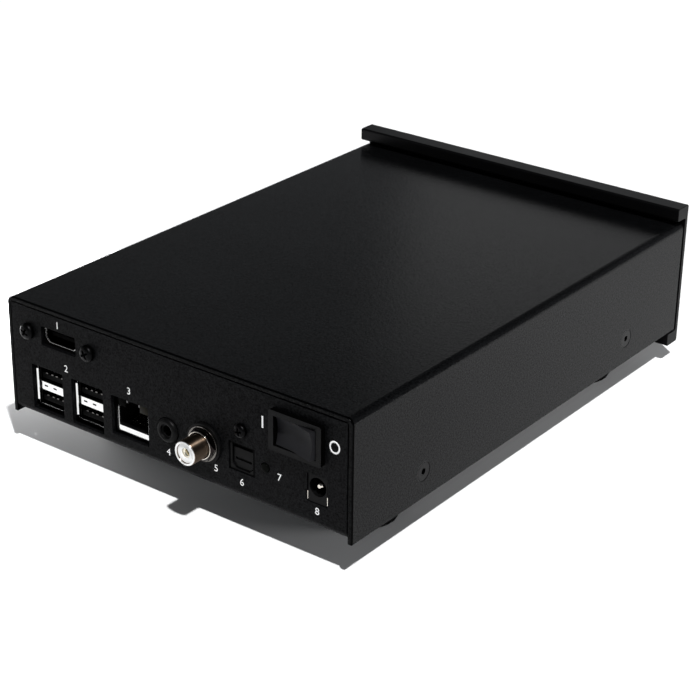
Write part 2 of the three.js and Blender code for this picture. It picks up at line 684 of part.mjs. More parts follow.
addPiece("optical_emitter", turned([
  [0, -14.5], [2.5, -14.5], [2.5, -12], [2, -11.4], [0, -11],
], 16), finish(0x6a1512, 0.2, 0), optical);
addPiece("optical_socket_screw", panScrew(5, screwRadius, 2.3, "y").translate(0, 0, opticalScrewRise),
  blackScrew(), optical);

const shutter = addGroup(0, shutterHinge.y, hingeZ, optical);
const shutterGroove = { half: 3.2, centre: -0.9, height: 0.9, depth: 0.5 };
function shutterPlate() {
  const face = shutterFace - shutterHinge.y;
  const { half, centre, height, depth } = shutterGroove;
  return cut(
    join(
      alongY(portOutline(shutterGap), face - 1, face).translate(0, 0, -hingeZ),
      rod(0.55, -noseHalf[0] + 0.1, noseHalf[0] - 0.1, 10, "x"),
    ),
    block([-half, face - depth, centre - height / 2 - hingeZ], [half, face + 1, centre + height / 2 - hingeZ]),
  );
}
addPiece("optical_shutter", shutterPlate(), blackPlastic(), shutter);

// Status lamp: a round lens whose two leads are bent down into the output board
const led = addGroup(ledAt[0], 0, ledAt[1]);
const ledLead = 0.25;
addPiece("status_led", join(
  turned([
    [0, -6], [1.9, -6], [1.9, -5], [1.65, -5], [1.65, -0.65], [1.4, -0.45], [0, -0.4],
  ], 16),
  ...sides.flatMap((side) => {
    const x = side * pinPitch / 4;
    return [
      block([x - ledLead, -9, -ledLead], [x + ledLead, -5.5, ledLead]),
      block([x - ledLead, -9, boardDrop(ledAt[1])], [x + ledLead, -9 + 2 * ledLead, ledLead]),
    ];
  }),
), finish(0x2b3a2c, 0.15, 0), led);

// Power inlet: body, centre pin and a formed sleeve contact along its sides
const power = addGroup(powerAt[0], 0, powerAt[1]);
const inlet = { half: 3.6, low: -5.5, high: 3.8, front: -0.25, back: -14.5, bore: 3.15, boreEnd: -10.5 };
const inletFoot = boardDrop(powerAt[1]);
addPiece("power_inlet_body", cut(
  join(
    block([-inlet.half, inlet.back, inletFoot], [inlet.half, panelBack, inlet.high]),
    block([-inlet.half, panelBack - 1, inlet.low], [inlet.half, inlet.front, inlet.high]),
  ),
  rod(inlet.bore, inlet.boreEnd, 1, 24),
), blackPlastic(), power);
addPiece("power_inlet_pin", turned([
  [0, inlet.boreEnd], [1.6, inlet.boreEnd], [1.6, inlet.boreEnd + 0.8], [1.05, inlet.boreEnd + 0.8],
  [1.05, -1.4], [0.6, -0.9], [0, -0.9],
], 16), plated(), power);
const sleeve = { gauge: 0.2, low: -5.2, high: -2.4 };
const sleeveOut = inlet.half + sleeve.gauge;
const sleeveArm = (side) => block(
  [side * (inlet.half + sleeve.gauge / 2) - sleeve.gauge / 2, inlet.back, sleeve.low],
  [side * (inlet.half + sleeve.gauge / 2) + sleeve.gauge / 2, inlet.front - 0.1, sleeve.high],
);
addPiece("power_inlet_contact", join(
  ...sides.map(sleeveArm),
  block([-sleeveOut, inlet.back - sleeve.gauge, inletFoot], [sleeveOut, inlet.back, sleeve.high]),
), plated(), power);

// Power switch: a hollow body behind a frame, with a rocker that turns about an upright axis
const powerSwitch = addGroup(switchAt[0], 0, switchAt[1]);
const frameSize = { half: 9.95, halfHeight: 6.7, front: 2 };
const bodySize = { half: 9.15, halfHeight: 5.9, depth: 13 };
const well = { half: 8.05, halfHeight: 4.95, depth: 8 };
addPiece("switch_body", cut(
  join(
    alongY(rectangle(2 * frameSize.half, 2 * frameSize.halfHeight, 0.8), 0, frameSize.front, 3),
    block([-bodySize.half, -bodySize.depth, -bodySize.halfHeight], [bodySize.half, 0.5, bodySize.halfHeight]),
    ...[-5, 5].map((x) => block([x - 0.4, -bodySize.depth - 8, -2.4], [x + 0.4, -bodySize.depth + 1, 2.4])),
  ),
  alongY(rectangle(2 * well.half, 2 * well.halfHeight), -well.depth, frameSize.front + 1),
  rod(1.2, -bodySize.halfHeight - 0.01, bodySize.halfHeight + 0.01, 12, "z").translate(0, pivotY, 0),
), blackPlastic(), powerSwitch);

const rocker = addGroup(0, pivotY, 0, powerSwitch);
rocker.rotation.z = -rockerTilt;
const rockerHalf = well.halfHeight - 0.15;
const rockerCorner = Math.sqrt(rockerRadius ** 2 - rockerCrown ** 2);
const skirtAngle = THREE.MathUtils.degToRad(24);
const rockerWall = 1.3;

// A shallow valley between two crowned ends, whose sides are arcs about the pivot
function rockerProfile() {
  const topAngle = Math.atan2(rockerCrown, rockerCorner);
  const shape = new THREE.Shape();
  shape.moveTo(rockerCorner, rockerCrown);
  shape.lineTo(0, rockerValley);
  shape.lineTo(-rockerCorner, rockerCrown);
  shape.absarc(0, 0, rockerRadius, Math.PI - topAngle, Math.PI + skirtAngle, false);
  shape.absarc(0, 0, rockerRadius, -skirtAngle, topAngle, false);
  return shape;
}

// One half of the face is hollowed from its upper to its lower edge by this round channel, which
// rises with the face from the valley to the end.
function rockerHollow(side) {
  const channelRadius = (rockerHalf ** 2 + rockerDish ** 2) / (2 * rockerDish);
  const reach = Math.asin(rockerHalf / channelRadius);
  const middle = rockerValley - rockerDish + channelRadius;
  const shape = new THREE.Shape();
  shape.absarc(middle, 0, channelRadius, Math.PI - reach, Math.PI + reach, false);
  shape.lineTo(middle, -rockerHalf);
  shape.lineTo(middle, rockerHalf);
  const rise = side * (rockerCrown - rockerValley) / rockerCorner;
  const lean = new THREE.Matrix4().set(1, 0, 0, 0, rise, 1, 0, 0, 0, 0, 1, 0, 0, 0, 0, 1);
  const [from, to] = side > 0 ? [0, rockerRadius + 1] : [-rockerRadius - 1, 0];
  return alongX(shape, from, to, 6).applyMatrix4(lean);
}

addPiece("switch_rocker", join(
  cut(
    alongZ(rockerProfile(), -rockerHalf, rockerHalf, 6),
    ...sides.map(rockerHollow),
    block([-rockerRadius + 1.9, -rockerRadius, -rockerHalf + rockerWall],
      [rockerRadius - 1.9, 0.2, rockerHalf - rockerWall]),
  ),
  rod(0.95, -bodySize.halfHeight + 0.2, bodySize.halfHeight - 0.2, 12, "z"),
), blackPlastic(), rocker);

// The origin goes under the centre of the object
player.position.set(0, (trayLength + fasciaWeb - coaxTip) / 2, standHeight);

export default player;
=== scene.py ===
"""Looks of a small network audio player, seen from behind: finishes, printed marks and fine pieces."""

import json
import math

import bmesh
import bpy
from mathutils import Matrix, Vector

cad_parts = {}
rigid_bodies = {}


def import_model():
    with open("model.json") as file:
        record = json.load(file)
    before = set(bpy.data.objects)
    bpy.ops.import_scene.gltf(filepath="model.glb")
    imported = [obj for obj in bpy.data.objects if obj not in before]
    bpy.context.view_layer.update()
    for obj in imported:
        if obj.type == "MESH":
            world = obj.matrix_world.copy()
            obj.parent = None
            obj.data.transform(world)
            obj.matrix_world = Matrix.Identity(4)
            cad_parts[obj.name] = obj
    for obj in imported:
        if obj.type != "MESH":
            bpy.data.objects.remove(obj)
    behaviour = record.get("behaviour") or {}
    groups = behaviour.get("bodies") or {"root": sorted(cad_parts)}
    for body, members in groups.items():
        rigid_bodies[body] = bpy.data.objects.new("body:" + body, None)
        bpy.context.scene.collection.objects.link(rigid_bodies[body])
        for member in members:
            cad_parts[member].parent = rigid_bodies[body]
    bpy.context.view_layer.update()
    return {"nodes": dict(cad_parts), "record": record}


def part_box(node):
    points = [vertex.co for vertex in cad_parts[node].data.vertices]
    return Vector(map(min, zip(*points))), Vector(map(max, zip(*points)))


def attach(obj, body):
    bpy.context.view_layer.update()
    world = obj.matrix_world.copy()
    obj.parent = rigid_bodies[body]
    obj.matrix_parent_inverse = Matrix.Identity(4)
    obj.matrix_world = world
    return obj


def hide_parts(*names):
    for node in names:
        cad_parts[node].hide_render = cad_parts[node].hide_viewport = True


# Blender's own cube would count in the part's box
for leftover in list(bpy.data.objects):
    bpy.data.objects.remove(leftover)
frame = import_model()
MM = 0.001

# Camera, in the frame of the part
CAMERA_PLACE = Vector((-0.3635, 0.4859, 0.3075))
CAMERA_AIM = Vector((0.0057, -0.0049, 0.0166))
CAMERA_ROLL = math.radians(0.78)
CAMERA_LENS = 98.65
CAMERA_SENSOR = 36.0

# Light: a sun, a sky that is pale only low down, a panel beyond the front, and two low cards that reach
# under the raised case. Each panel has its place, aim, size in metres and power in watts.
TOWARDS_LAMP = Vector((-0.427, 0.30, 1.0))
LAMP_STRENGTH = 3.6
LAMP_SPREAD = math.radians(2.0)
SKY_COLOUR = (0.97, 1.0, 1.04, 1)
SKY_LOW = 0.35
SKY_OVERHEAD = 0.015
SKY_FADE = (0.12, 0.7)
BACK_PANEL = (Vector((0.16, -0.62, 0.30)), Vector((0, 0, 0)), (0.45, 0.25), 0.16)
CARD_SIZE = (0.12, 0.03)
LEFT_CARD = (Vector((0.17, 0.03, 0.02)), Vector((0.05, 0.11, 0.0)), CARD_SIZE, 0.24)
RIGHT_CARD = (Vector((-0.30, -0.12, 0.05)), Vector((-0.06, -0.01, 0.0)), CARD_SIZE, 0.38)
FLOOR_SIZE = 8.0

# Powder coat
GRAIN_SIZE = 0.5 * MM
GRAIN_DEPTH = 0.025 * MM
PEEL_SIZE = 0.9 * MM
PEEL_DEPTH = 0.02 * MM
CLOUD_SIZE = 40 * MM
GLINT_RANGE = (0.4, 1.6)  # dullest and shiniest grain, as a share of the coat's specular level
SPECK_RANGE = (0.1, 2.4)  # darkest and palest speck, as a share of the coat's colour

# Printed marks, placed from the middle of the piece that they belong to. The half size of the ON mark
# and the places of the numbers are in mm.
PRINT_DEPTH = 0.03 * MM
OFF_MARK_PLACE = (-13.5 * MM, 0.7 * MM)
OFF_MARK_SIZE = (4.0 * MM, 4.3 * MM)
OFF_MARK_STROKE = 0.62 * MM
ON_MARK_PLACE = (13.75 * MM, 0.3 * MM)
ON_MARK_HALF_SIZE = (0.3, 2.0)
NUMBER_HEIGHT = 2.4 * MM
NUMERAL_SHARE = 0.7  # height of a numeral as a share of the font's size
NUMBERED = (
    ("video_socket_shell", 0, 5.4), ("usb_socket_1_shell", -9, 10.2), ("network_socket_shell", 0, 9.9),
    ("trigger_jack_body", 0, -7.2), ("coax_barrel", -4.3, -7.7), ("optical_shutter", 0, -8.2),
    ("status_led", -5.5, 0.4), ("power_inlet_pin", 0, -8.2),
)

# Screws of the rear panel: how far each is turned, in radians, and their shank in mm
SCREW_TURNS = {
    "video_socket_screw_left": 0.5, "video_socket_screw_right": 1.1, "optical_socket_screw": 0.2,
}
SHANK_RADIUS = 1.5


def middle(node):
    """Centre of a CAD node's box."""
    low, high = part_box(node)
    return (low + high) / 2


PANEL_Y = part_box("chassis_tray")[1].y


class Paint:
    """One procedural material on a Principled shader, made node by node."""

    def __init__(self, name, roughness, metallic=0.0, specular=0.5):
        self.material = bpy.data.materials.new(name)
        self.material.use_nodes = True
        self.nodes = self.material.node_tree.nodes
        self.links = self.material.node_tree.links
        self.shader = self.nodes["Principled BSDF"]
        self.place = self.nodes.new("ShaderNodeTexCoord").outputs["Object"]
        self.set("Roughness", roughness)
        self.set("Metallic", metallic)
        self.set("Specular IOR Level", specular)

    def set(self, name, value):
        self.shader.inputs[name].default_value = value

    def node(self, kind, inputs, output=0, **settings):
        """One output of a new shader node; an input that is a socket is linked, any other is set."""
        made = self.nodes.new("ShaderNode" + kind)
        for key, value in settings.items():
            setattr(made, key, value)
        for key, value in inputs.items():
            if isinstance(value, bpy.types.NodeSocket):
                self.links.new(value, made.inputs[key])
            else:
                made.inputs[key].default_value = value
        return made.outputs[output]

    def stretched(self, x, y, z):
        """Coordinates scaled along each axis, for grain that runs one way."""
        return self.node("Mapping", {"Vector": self.place, "Scale": (x, y, z)})

    def noise(self, size, detail=2.0, place=None):
        """Noise whose lumps are about `size` metres across."""
        source = self.place if place is None else place
        return self.node("TexNoise", {"Vector": source, "Scale": 1 / size, "Detail": detail})

    def cells(self, size):
        """Soft bumps about `size` metres across."""
        return self.node("TexVoronoi", {"Vector": self.place, "Scale": 1 / size}, feature="SMOOTH_F1")

    def spread(self, value, low, high, start=0.3, end=0.7):
        """Maps the part of a noise from start to end onto low to high."""
        return self.node("MapRange", {
            "Value": value, "From Min": start, "From Max": end, "To Min": low, "To Max": high,
        })

    def mix(self, share, first, second):
        """Colour that goes from first to second as the share goes from 0 to 1."""
        made = self.nodes.new("ShaderNodeMix")
        made.data_type = "RGBA"
        self.links.new(share, made.inputs["Factor"])
        for name, value in (("A", first), ("B", second)):
            socket = next(s for s in made.inputs if s.name == name and s.type == "RGBA")
            if isinstance(value, bpy.types.NodeSocket):
                self.links.new(value, socket)
            else:
                socket.default_value = (*value, 1)
        return next(s for s in made.outputs if s.type == "RGBA")

    def product(self, first, second):
        return self.node("Math", {0: first, 1: second}, operation="MULTIPLY")

    def total(self, first, second):
        return self.node("Math", {0: first, 1: second}, operation="ADD")

    def along(self, axis):
        """One coordinate of the place on the object, in metres."""
        return self.node("SeparateXYZ", {"Vector": self.place}, output=axis)

    def step(self, axis, start, end, low=0.0, high=1.0):
        """Goes from low to high where the coordinate goes from start to end, in mm."""
        return self.spread(self.along(axis), low, high, start * MM, end * MM)

    def colour(self, socket):
        self.links.new(socket, self.shader.inputs["Base Color"])

    def shine(self, socket):
        self.links.new(socket, self.shader.inputs["Specular IOR Level"])

    def rough(self, socket):
        self.links.new(socket, self.shader.inputs["Roughness"])

    def relief(self, height, depth, under=None):
        """Bump of `depth` metres, over another bump if one is given."""
        inputs = {"Height": height, "Distance": depth, "Strength": 1.0}
        if under is not None:
            inputs["Normal"] = under
        bumped = self.node("Bump", inputs)
        self.links.new(bumped, self.shader.inputs["Normal"])
        return bumped


def shade(colour, factor):
    """The colour, lighter or darker by a factor."""
    return tuple(channel * factor for channel in colour)


def powder_coat(name, colour, roughness, specular, painted_shade_edge=None):
    """Textured powder coat: fine orange peel, with grain that catches the light.

    Where a Y in mm is given for the edge, a thin dark line of painted shade runs along it there, taking down
    colour and specular.
    """
    paint = Paint(name, roughness)
    grain = paint.noise(GRAIN_SIZE, 3)
    peel = paint.cells(PEEL_SIZE)
    cloud = paint.noise(CLOUD_SIZE, 2)
    mixed = paint.total(grain, paint.product(cloud, 0.25))
    glint = paint.spread(grain, specular * GLINT_RANGE[0], specular * GLINT_RANGE[1])
    speckle = paint.spread(mixed, 0, 1, 0.4, 0.85)
    if painted_shade_edge is not None:
        # Painted shade: a thin dark line with little specular, just inside the edge
        begins = paint.step("Y", painted_shade_edge - 0.95, painted_shade_edge - 0.75)
        ends = paint.step("Y", painted_shade_edge - 0.25, painted_shade_edge - 0.1, 1, 0.3)
        edge_shade = paint.spread(paint.product(begins, ends), 1, 0.05, 0, 1)
        glint = paint.product(glint, edge_shade)
        speckle = paint.product(speckle, edge_shade)
    paint.shine(glint)
    paint.colour(paint.mix(speckle, shade(colour, SPECK_RANGE[0]), shade(colour, SPECK_RANGE[1])))
    paint.rough(paint.spread(mixed, roughness - 0.06, roughness + 0.06, 0.4, 0.85))
    paint.relief(grain, GRAIN_DEPTH, paint.relief(peel, PEEL_DEPTH))
    return paint.material


def anodised(name, colour):
    """Anodised aluminium: satin, with a faint blasted grain."""
    paint = Paint(name, 0.42, metallic=0.35, specular=0.06)
    grain = paint.noise(0.2 * MM, 2)
    cloud = paint.noise(25 * MM, 3)
    paint.colour(paint.mix(paint.spread(cloud, 0, 1), shade(colour, 0.9), shade(colour, 1.12)))
    paint.rough(paint.spread(cloud, 0.38, 0.46))
    paint.relief(grain, 0.006 * MM)
    return paint.material


def moulded(name, colour, roughness, specular=0.4, front=None):
    """Moulded plastic with a spark-eroded surface and slightly uneven gloss.

    Where a front Y in mm is given, the surface behind it is painted dark, with its specular gone, as shade.
    """
    paint = Paint(name, roughness, specular=specular)
    grain = paint.noise(0.15 * MM, 2)
    cloud = paint.noise(4 * MM, 3)
    tone = paint.mix(paint.spread(cloud, 0, 1), shade(colour, 0.85), shade(colour, 1.18))
    if front is not None:
        # Painted shade: behind the front the colour goes nearly black and the specular goes out
        unshaded_front = paint.step("Y", front - 0.1, front + 0.1)
        paint.shine(paint.product(unshaded_front, specular))
        tone = paint.mix(unshaded_front, (0.001, 0.001, 0.001), tone)
    paint.colour(tone)
    paint.rough(paint.spread(cloud, roughness - 0.06, roughness + 0.08))
    paint.relief(grain, 0.008 * MM)
    return paint.material


def rubber(name, colour):
    """Dull rubber with a little dust."""
    paint = Paint(name, 0.78, specular=0.08)
    grain = paint.noise(0.3 * MM, 4)
    dust = paint.noise(6 * MM, 4)
    paint.colour(paint.mix(paint.spread(dust, 0, 1, 0.5, 0.8), colour, shade(colour, 1.9)))
    paint.rough(paint.spread(dust, 0.7, 0.9))
    paint.relief(grain, 0.02 * MM)
    return paint.material


def plated(name, colour, roughness, shaded_colour=None, bright=None, turned_marks=0.0008 * MM):
    """Bright plating: smudged gloss and hair-fine turning marks. Gives the paint, for more to be added.

    Where a shaded colour is given, only the parts that `bright` picks keep their colour, and the rest takes
    the shaded colour as painted shade.
    """
    paint = Paint(name, roughness, metallic=1.0)
    smudge = paint.noise(2.5 * MM, 4)
    marks = paint.noise(0.12 * MM, 2, paint.stretched(0.3, 1, 0.3))
    tone = paint.mix(paint.spread(smudge, 0, 1), shade(colour, 0.92), shade(colour, 1.05))
    # Painted shade: the parts that are not picked take the shaded colour
    if shaded_colour is not None:
        tone = paint.mix(bright(paint), shaded_colour, tone)
    paint.colour(tone)
    paint.rough(paint.spread(smudge, roughness - 0.02, roughness + 0.05))
    paint.relief(marks, turned_marks)
    return paint


def oxide(name, colour):
    """Black oxide on steel screws, worn a little paler on its high spots."""
    paint = Paint(name, 0.34, metallic=1.0)
    wear = paint.noise(0.5 * MM, 4)
    paint.colour(paint.mix(paint.spread(wear, 0, 1, 0.55, 0.8), colour, shade(colour, 2.4)))
    paint.rough(paint.spread(wear, 0.28, 0.45))
    paint.relief(wear, 0.006 * MM)
    return paint.material


def laminate(name, colour):
    """Circuit board: solder resist over faint copper tracks."""
    paint = Paint(name, 0.3, specular=0.5)
    tracks = paint.node("TexBrick", {
        "Vector": paint.place, "Scale": 260.0, "Mortar Size": 0.03, "Mortar Smooth": 0.2,
        "Color1": (1, 1, 1, 1), "Color2": (1, 1, 1, 1), "Mortar": (0, 0, 0, 1),
    }, output="Fac")
    cloud = paint.noise(9 * MM, 3)
    base = paint.mix(paint.spread(cloud, 0, 1), shade(colour, 0.85), shade(colour, 1.15))
    paint.colour(paint.mix(tracks, base, shade(colour, 1.7)))
    paint.rough(paint.spread(cloud, 0.25, 0.38))
    paint.relief(tracks, 0.02 * MM)
    return paint.material


def lens(name, colour, specular=0.5, clear=0.0):
    """Smooth moulded lens with a faint haze."""
    paint = Paint(name, 0.12, specular=specular)
    paint.set("Transmission Weight", clear)
    haze = paint.noise(1.2 * MM, 3)
    paint.colour(paint.mix(paint.spread(haze, 0, 1), shade(colour, 0.8), shade(colour, 1.3)))
    paint.rough(paint.spread(haze, 0.08, 0.2))
    return paint.material


def ink(name, colour):
    """Screen-printed ink: matt, and a little thin in places."""
    paint = Paint(name, 0.6, specular=0.3)
    thin = paint.noise(0.25 * MM, 3)
    paint.colour(paint.mix(paint.spread(thin, 0, 1), shade(colour, 0.93), colour))
    paint.rough(paint.spread(thin, 0.52, 0.68))
    paint.relief(thin, 0.006 * MM)
    return paint.material


# A finish for each material slot of the record
FINISHES = {
    # The cover's coat carries a painted dark line of shade along its rear edge
    "cover_coat": powder_coat("cover_coat_look", (0.0018, 0.0019, 0.0021), 0.21, 0.071, PANEL_Y / MM),
    "tray_coat": powder_coat("tray_coat_look", (0.0020, 0.0021, 0.0024), 0.48, 0.047),
    "fascia_finish": anodised("fascia_look", (0.0033, 0.0033, 0.0036)),
    "foot_rubber": rubber("rubber_look", (0.002, 0.002, 0.002)),
    "black_screw": oxide("black_screw_look", (0.006, 0.006, 0.0063)),
    "nickel": plated("nickel_look", (0.84, 0.79, 0.72), 0.08).material,
    "socket_plating": plated("socket_plating_look", (0.9, 0.9, 0.89), 0.09).material,
    "gilt_contact": plated("gilt_look", (0.93, 0.87, 0.72), 0.25).material,
    "black_plastic": moulded("black_plastic_look", (0.0026, 0.0026, 0.0028), 0.42, 0.08),
    "switch_plastic": moulded("switch_plastic_look", (0.0026, 0.0026, 0.0029), 0.3, 0.1),
    "white_insulator": moulded("white_insulator_look", (0.93, 0.93, 0.92), 0.35),
    "board_laminate": laminate("board_look", (0.02, 0.1, 0.045)),
    "chip_epoxy": moulded("chip_look", (0.02, 0.02, 0.021), 0.6),
    "capacitor_sleeve": moulded("capacitor_look", (0.015, 0.016, 0.03), 0.3),
    "lamp_lens": lens("lamp_lens_look", (0.0015, 0.0018, 0.0015), 0.02),
    "emitter_lens": lens("emitter_look", (0.25, 0.02, 0.015), 0.5, 0.35),
}
WHITE_INK = ink("white_ink", (0.96, 0.96, 0.96))
# Nickel made nearly black as painted shade, for the coaxial nut
PAINTED_SHADE_NICKEL = plated("nut_painted_shade_look", (0.02, 0.016, 0.016), 0.12).material
# Contact plating darkened as painted shade, for the contacts deep in the USB ports
PAINTED_SHADE_CONTACT = plated("contact_painted_shade_look", (0.14, 0.135, 0.13), 0.25).material
# Dark plating colour for painted shade inside the sockets
PAINTED_SHADE_PLATING = (0.03, 0.029, 0.028)
LINK_LAMPS = {
    "left": lens("link_lamp_look", (0.0008, 0.001, 0.0008), 0.015),
    "right": lens("traffic_lamp_look", (0.009, 0.008, 0.004), 0.05),
}
# Darker and duller than the other black plastic: on the video socket's plastic it is partly real black and
# partly painted shade, and on the USB slot patches and the optical nose frame it is painted shade
DEEP_BLACK = moulded("deep_black_look", (0.0015, 0.0015, 0.0015), 0.6, 0.02)


def front_of(node):
    """Y in mm of the frontmost point of a CAD node, seen from behind the player."""
    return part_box(node)[1].y / MM


def mouth_plating(node, name):
    """Plating of a double USB socket: bright on its front edges and on the plate between its ports, and dark
    elsewhere as painted shade.
    """
    centre = middle(node).x / MM

    def bright(paint):
        rim = paint.product(
            paint.step("Y", front_of(node) - 0.6, front_of(node) - 0.45),
            paint.step("X", centre + 6.6, centre + 6.7, 1, 0),
        )
        plate = paint.product(
            paint.step("X", centre - 6.1, centre - 6.0), paint.step("X", centre + 6.0, centre + 6.1, 1, 0),
        )
        return paint.node("Math", {0: rim, 1: plate}, operation="MAXIMUM")

    return plated(name, (0.9, 0.9, 0.89), 0.09, PAINTED_SHADE_PLATING, bright).material


def network_plating():
    """Plating of the network socket, with painted shade on its side walls and round its lamps."""
    centre = middle("network_socket_shell").x / MM
    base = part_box("network_socket_shell")[0].z / MM

    def bright(paint):
        across = paint.product(
            paint.step("X", centre - 7.3, centre - 7.1), paint.step("X", centre + 7.1, centre + 7.3, 1, 0),
        )
        return paint.product(across, paint.step("Z", base + 8.5, base + 9, 1, 0))

    # Painted shade: dark grey plating outside the lit middle
    return plated("network_plating_look", (0.9, 0.9, 0.89), 0.09, (0.1, 0.1, 0.1), bright).material


def barrel_plating():
    """Plating of the coaxial barrel: white at its front edge as a painted highlight, and dark brown behind
    it as painted shade, with turning marks.
    """
    front = front_of("coax_barrel")

    def bright(paint):
        return paint.step("Y", front - 0.25, front - 0.1)

    paint = plated("barrel_look", (0.97, 0.97, 0.96), 0.33, (0.2, 0.145, 0.105), bright, 0.004 * MM)
    paint.set("Anisotropic", 0.9)
    paint.set("Anisotropic Rotation", 0.25)
    tangent = paint.node("Tangent", {}, direction_type="RADIAL", axis="Y")
    paint.links.new(tangent, paint.shader.inputs["Tangent"])
    return paint.material


def darkened_shutter():
    """Plastic of the optical shutter, with a painted shadow under the top of its port."""
    paint = Paint("shutter_look", 0.42, specular=0.08)
    cloud = paint.noise(4 * MM, 3)
    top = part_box("optical_shutter")[1].z / MM
    lit = paint.step("Z", top - 1.25, top - 1.0, 1, 0)
    grey = paint.mix(paint.spread(cloud, 0, 1), (0.0022, 0.0022, 0.0024), (0.0031, 0.0031, 0.0033))
    # Painted shadow: the top of the shutter goes nearly black and loses its specular
    paint.colour(paint.mix(lit, (0.0005, 0.0005, 0.0005), grey))
    paint.shine(paint.product(lit, 0.08))
    paint.rough(paint.spread(cloud, 0.36, 0.5))
    paint.relief(paint.noise(0.15 * MM, 2), 0.008 * MM)
    return paint.material


tongue_front = front_of("usb_socket_1_insulator") - 0.4
switch_front = front_of("switch_body") - 0.15
# The USB tongues are painted dark as shade behind their front
TONGUE_LOOK = moulded("tongue_look", (0.004, 0.004, 0.004), 0.5, 0.04, tongue_front)

# CAD nodes whose look differs from that of their slot
OWN_FINISH = {
    "usb_socket_1_shell": mouth_plating("usb_socket_1_shell", "usb_1_plating_look"),
    "usb_socket_2_shell": mouth_plating("usb_socket_2_shell", "usb_2_plating_look"),
    "usb_socket_1_insulator": TONGUE_LOOK,
    "usb_socket_2_insulator": TONGUE_LOOK,
    "network_socket_shell": network_plating(),
    # The video socket's shell is plated dark all over as painted shade
    "video_socket_shell": plated("video_plating_look", PAINTED_SHADE_PLATING, 0.2).material,
    "video_socket_insulator": DEEP_BLACK,
    "video_adapter_block": DEEP_BLACK,
    "coax_lock_washer": plated("washer_look", (0.16, 0.15, 0.14), 0.15).material,
    "coax_barrel": barrel_plating(),
    "optical_shutter": darkened_shutter(),
    # The switch frame is painted dark as shade behind its front face
    "switch_body": moulded("switch_frame_look", (0.0026, 0.0026, 0.0029), 0.3, 0.09, switch_front),
    "switch_rocker": moulded("rocker_look", (0.012, 0.012, 0.0135), 0.4, 0.045),
}


def smoothing(name, angle):
    """Geometry nodes that join the facets' corners and shade them smooth up to an edge angle."""
    group = bpy.data.node_groups.new(name, "GeometryNodeTree")
    for direction in ("INPUT", "OUTPUT"):
        group.interface.new_socket("Geometry", in_out=direction, socket_type="NodeSocketGeometry")
    nodes = group.nodes
    links = group.links
    start = nodes.new("NodeGroupInput")
    end = nodes.new("NodeGroupOutput")
    merge = nodes.new("GeometryNodeMergeByDistance")
    merge.inputs["Distance"].default_value = 0.002 * MM
    faces = nodes.new("GeometryNodeSetShadeSmooth")
    faces.domain = "FACE"
    edges = nodes.new("GeometryNodeSetShadeSmooth")
    edges.domain = "EDGE"
    edge_angle = nodes.new("GeometryNodeInputMeshEdgeAngle")
    below = nodes.new("FunctionNodeCompare")
    below.data_type = "FLOAT"
    below.operation = "LESS_THAN"
    below.inputs["B"].default_value = angle
    links.new(start.outputs[0], merge.inputs["Geometry"])
    links.new(merge.outputs[0], faces.inputs["Geometry"])
    links.new(faces.outputs[0], edges.inputs["Geometry"])
    links.new(edge_angle.outputs["Unsigned Angle"], below.inputs["A"])
    links.new(below.outputs[0], edges.inputs["Shade Smooth"])
    links.new(edges.outputs[0], end.inputs[0])
    return group


MERGE_FACETS = smoothing("merge_facets", math.radians(30))
SMOOTH_EDGES = smoothing("smooth_edges", math.radians(50))


def add_nodes(piece, group):
    piece.modifiers.new(group.name, "NODES").node_group = group


def round_edges(piece, width):
    """Rounds the sharp edges of a piece by a width in mm."""
    bevel = piece.modifiers.new("rounding", "BEVEL")
    bevel.width = width * MM
    bevel.segments = 2
    bevel.limit_method = "ANGLE"
    bevel.angle_limit = math.radians(35)
    # With the clamp, the narrow facets of the cover's folds would keep its edges sharp
    bevel.use_clamp_overlap = piece.name != "top_cover"
    add_nodes(piece, SMOOTH_EDGES)


def soften(piece, width):
    """Smooth shading of a CAD node and, unless the width in mm is 0, a real rounding of its sharp edges."""
    add_nodes(piece, MERGE_FACETS)
    if width:
        flat = piece.modifiers.new("flat_faces", "DECIMATE")
        flat.decimate_type = "DISSOLVE"
        flat.angle_limit = math.radians(0.5)
        round_edges(piece, width)
    normals = piece.modifiers.new("normals", "WEIGHTED_NORMAL")
    normals.keep_sharp = True


# Roundings of the CAD nodes' edges, in mm
ROUNDED = {
    "top_cover": 0.35, "front_fascia": 0.2, "switch_body": 0.2, "switch_rocker": 0.25,
    "video_adapter_block": 0.15, "video_socket_shell": 0.08, "network_socket_shell": 0.08,
    "usb_socket_1_shell": 0.06, "usb_socket_2_shell": 0.06, "optical_socket_body": 0.1,
    "optical_shutter": 0.08, "trigger_jack_body": 0.2, "power_inlet_body": 0.1,
    "coax_barrel": 0.2, "coax_lock_washer": 0.08, "coax_insulating_washer": 0.12, "coax_insulator": 0.12,
}
SLOT_OF = {part["node"]: part["material_slot"] for part in frame["record"]["subparts"]}
for name, node in frame["nodes"].items():
    for holder in node.material_slots:
        holder.material = OWN_FINISH.get(name, FINISHES[SLOT_OF[name]])
    soften(node, ROUNDED.get(name, 0))


def add_piece(name, mesh, material, body="case"):
    """A new object that rides on a CAD body."""
    piece = bpy.data.objects.new(name, mesh)
    bpy.context.scene.collection.objects.link(piece)
    mesh.materials.clear()
    mesh.materials.append(material)
    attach(piece, body)
    return piece


def onto_panel(x, z):
    """Puts a shape on the panel: its X runs to the right for someone behind the player, its Z outwards."""
    return Matrix(((-1, 0, 0, x), (0, 0, 1, PANEL_Y), (0, 1, 0, z), (0, 0, 0, 1)))


def finished(made, name, smooth=False):
    """The mesh of a bmesh, which is used up."""
    bmesh.ops.recalc_face_normals(made, faces=made.faces)
    for face in made.faces:
        face.smooth = smooth
    mesh = bpy.data.meshes.new(name)
    made.to_mesh(mesh)
    made.free()
    return mesh


